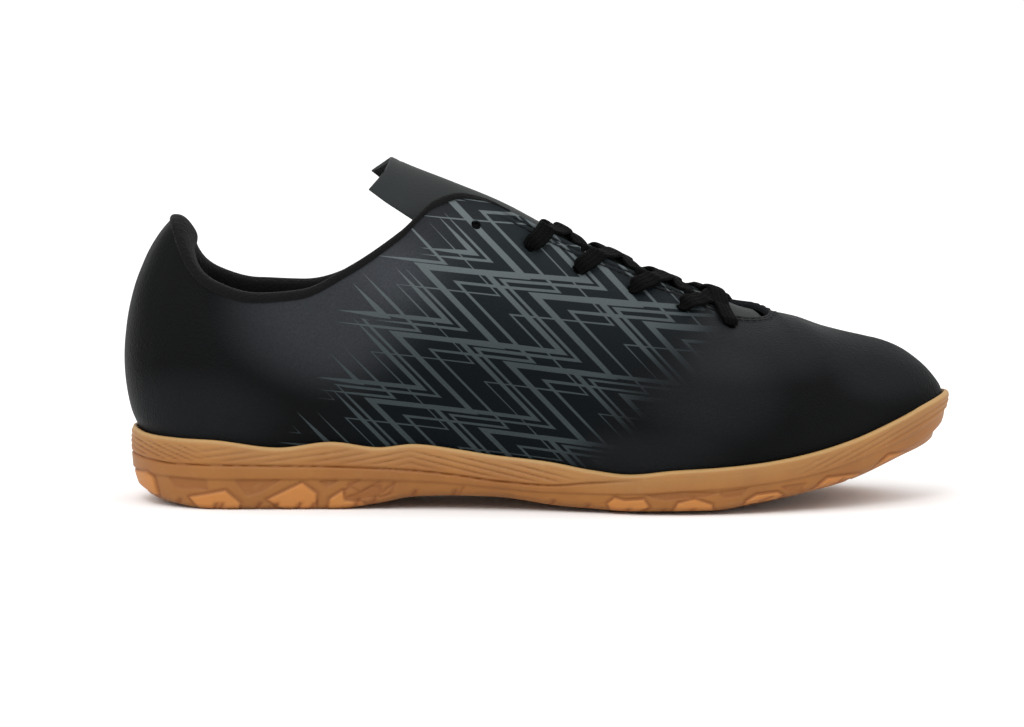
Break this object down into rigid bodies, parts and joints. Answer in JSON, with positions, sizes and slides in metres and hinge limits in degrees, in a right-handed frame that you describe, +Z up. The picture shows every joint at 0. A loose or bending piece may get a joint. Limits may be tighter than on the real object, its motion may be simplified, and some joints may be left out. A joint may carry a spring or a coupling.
{
  "type": "indoor soccer shoe",
  "caption": "Low-cut indoor soccer shoe for the right foot with a hollow black synthetic upper, padded collar, arched tongue, crossed laces and a flat gum rubber cup sole.",
  "frame": {"origin": "on the floor, under the middle of the whole shoe seen from above", "axes": "+X towards the toe, +Y towards the inner side of the foot, +Z up"},
  "size_m": [0.2902, 0.1038, 0.1207],
  "materials": {
    "gum_rubber": "matt moulded gum rubber with ribs and lugs",
    "coated_synthetic": "black coated synthetic leather, fine grain, grey zigzag print on the quarters",
    "lining_textile": "black brushed knit over foam",
    "tongue_synthetic": "black coated synthetic with textile back",
    "insole_textile": "black textile sock",
    "lace_braid": "flat black braided polyester"
  },
  "bodies": {
    "root": {"outsole": "gum_rubber", "upper": "coated_synthetic", "collar_lining": "lining_textile", "tongue": "tongue_synthetic", "insole": "insole_textile", "lace_crossing_1": "lace_braid", "lace_crossing_2": "lace_braid", "lace_crossing_3": "lace_braid", "lace_crossing_4": "lace_braid"}
  },
  "joints": []
}
